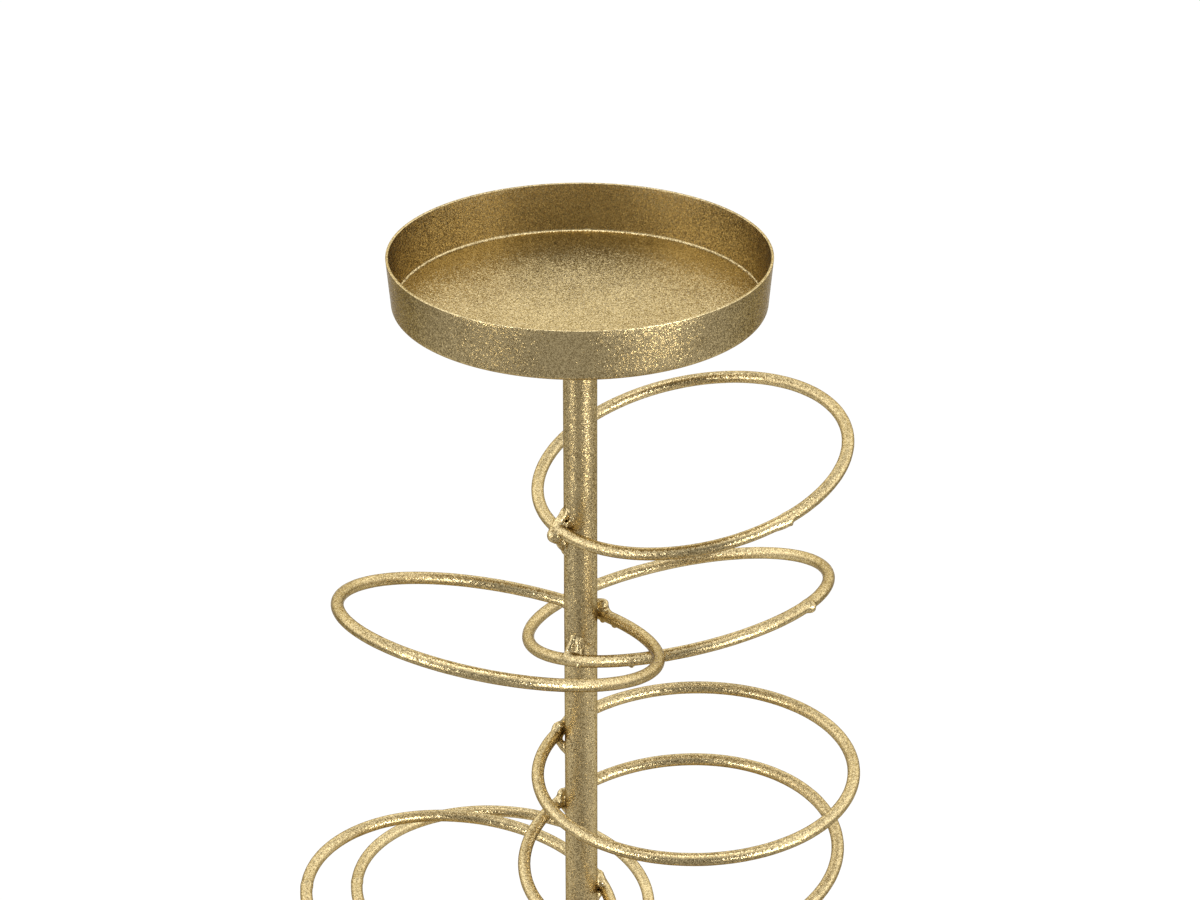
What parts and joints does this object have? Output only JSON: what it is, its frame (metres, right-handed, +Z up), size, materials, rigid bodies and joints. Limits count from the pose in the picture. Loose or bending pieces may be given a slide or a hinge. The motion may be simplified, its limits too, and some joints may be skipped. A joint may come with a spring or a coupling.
{
  "type": "spiral candle holder",
  "caption": "Candle holder with a shallow round tray on a slim upright stem, wire rings tacked round the stem at turning angles, and a flat round base.",
  "frame": {"origin": "middle of the felt's underside, on the stem's axis", "axes": "+Z up along the stem, +X to the right and +Y away from the viewer in the picture"},
  "size_m": [0.1741, 0.1571, 0.3],
  "materials": {
    "gold_paint": "champagne gold metallic flake paint, satin",
    "felt": "pressed wool felt, matt"
  },
  "bodies": {
    "root": {"candle_tray": "gold_paint", "tray_weld": "gold_paint", "stem": "gold_paint", "base_weld": "gold_paint", "base_plate": "gold_paint", "base_felt": "felt", "ring_1": "gold_paint", "ring_1_weld": "gold_paint", "ring_2": "gold_paint", "ring_2_weld": "gold_paint", "ring_3": "gold_paint", "ring_3_weld": "gold_paint", "ring_4": "gold_paint", "ring_4_weld": "gold_paint", "ring_5": "gold_paint", "ring_5_weld": "gold_paint", "ring_6": "gold_paint", "ring_6_weld": "gold_paint", "ring_7": "gold_paint", "ring_7_weld": "gold_paint", "ring_8": "gold_paint", "ring_8_weld": "gold_paint"}
  },
  "joints": []
}
